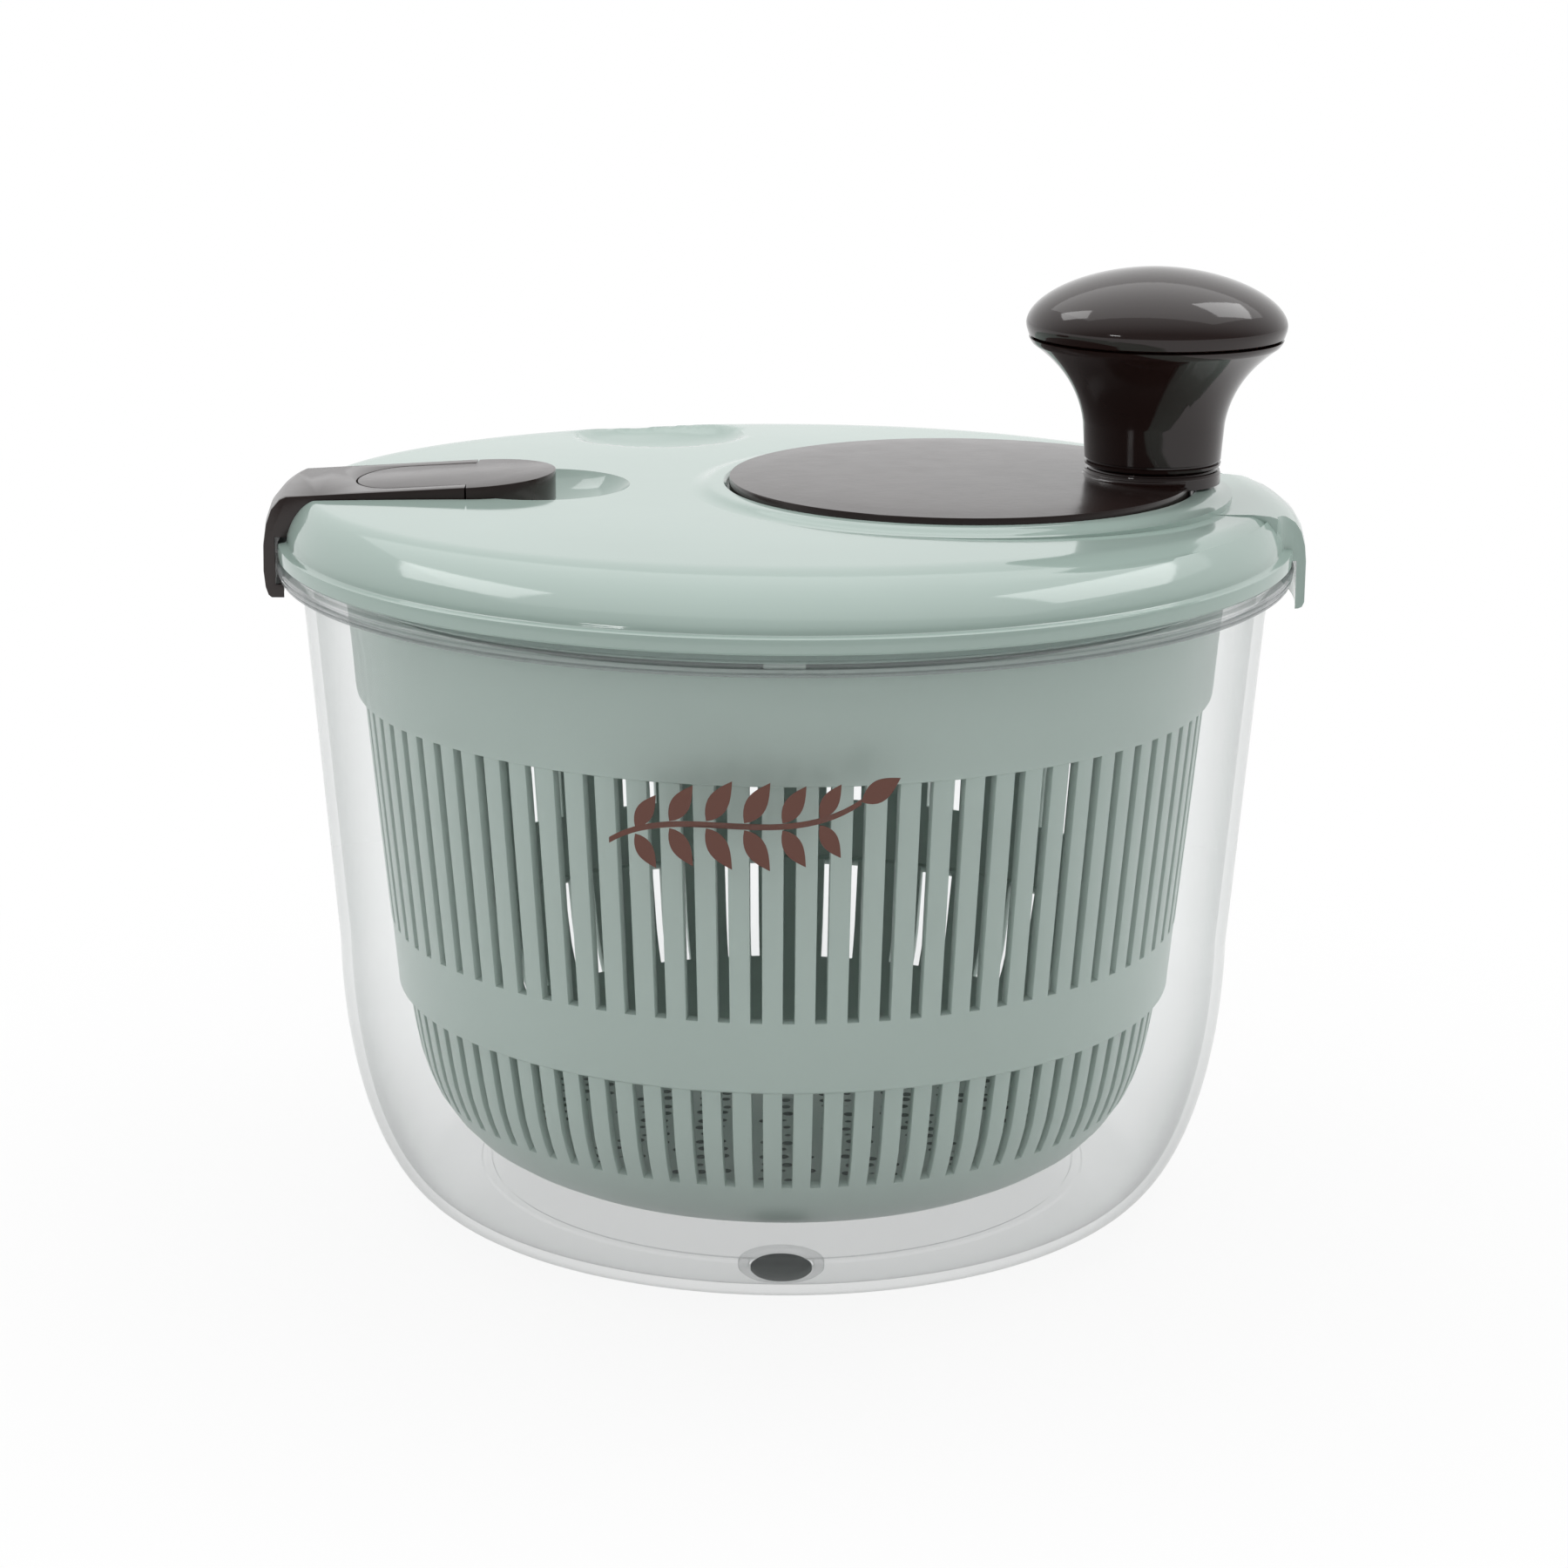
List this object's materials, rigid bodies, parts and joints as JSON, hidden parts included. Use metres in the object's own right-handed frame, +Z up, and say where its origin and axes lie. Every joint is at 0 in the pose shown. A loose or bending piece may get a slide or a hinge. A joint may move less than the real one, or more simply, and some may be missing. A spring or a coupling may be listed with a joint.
{
  "type": "salad spinner",
  "caption": "Hand-cranked salad spinner: clear bowl, slotted spinning basket, geared lid with disc crank, turning knob and rim latch.",
  "frame": {"origin": "on the bowl's axis, at the level the three feet stand on", "axes": "+Z up along the bowl's and basket's axis; +X from the bowl's axis to the crank and the fixed lug, -X to the latch; +Y to the back, -Y to the front"},
  "size_m": [0.2, 0.1924, 0.1793],
  "materials": {
    "clear_bowl": "clear moulded plastic, polished",
    "aqua_plastic": "pale mint-aqua moulded plastic, glossy",
    "brown_plastic": "dark brown moulded plastic, glossy",
    "white_nylon": "natural white gear plastic, satin",
    "foot_rubber": "dark matt rubber",
    "steel": "bright steel"
  },
  "bodies": {
    "bowl": {"bowl": "clear_bowl", "foot_front": "foot_rubber", "foot_rear_right": "foot_rubber", "foot_rear_left": "foot_rubber"},
    "basket": {"basket": "aqua_plastic"},
    "lid": {"lid_cover": "aqua_plastic", "gear_housing": "aqua_plastic", "housing_screw_1": "steel", "housing_screw_2": "steel", "housing_screw_3": "steel", "housing_screw_4": "steel", "crank_bush": "white_nylon", "rotor_washer": "steel", "rotor_screw": "steel", "latch_pin": "steel", "latch_spring": "steel"},
    "crank": {"crank_disc": "brown_plastic", "drive_gear": "white_nylon", "gear_screw": "steel", "knob_pin": "steel"},
    "knob": {"knob_grip": "brown_plastic", "knob_cap": "brown_plastic"},
    "rotor": {"pinion_gear": "white_nylon", "drive_plate": "aqua_plastic"},
    "latch": {"latch_hook": "brown_plastic", "latch_button": "brown_plastic"}
  },
  "joints": [
    {"name": "lid_lift", "type": "slide", "parent": "bowl", "child": "lid", "axis": [0, 0, 1], "range_m": [0, 0.12]},
    {"name": "basket_spin", "type": "hinge", "parent": "bowl", "child": "basket", "pos_m": [0, 0, 0.0104], "axis": [0, 0, 1], "continuous": true},
    {"name": "crank_turn", "type": "hinge", "parent": "lid", "child": "crank", "pos_m": [0.033, 0, 0.137], "axis": [0, 0, 1], "continuous": true},
    {"name": "rotor_turn", "type": "hinge", "parent": "lid", "child": "rotor", "pos_m": [0, 0, 0.131], "axis": [0, 0, 1], "continuous": true},
    {"name": "knob_turn", "type": "hinge", "parent": "crank", "child": "knob", "pos_m": [0.0695, 0, 0.142], "axis": [0, 0, 1], "continuous": true},
    {"name": "latch_press", "type": "hinge", "parent": "lid", "child": "latch", "pos_m": [-0.087, 0, 0.133], "axis": [0, 1, 0], "range_deg": [0, 8], "stiffness_Nm_per_rad": 0.4, "springref_deg": -5.73, "deforming": ["latch_spring"]}
  ],
  "couplings": [
    {"joint": "rotor_turn", "follows": "crank_turn", "ratio": -3},
    {"joint": "basket_spin", "follows": "crank_turn", "ratio": -3}
  ]
}
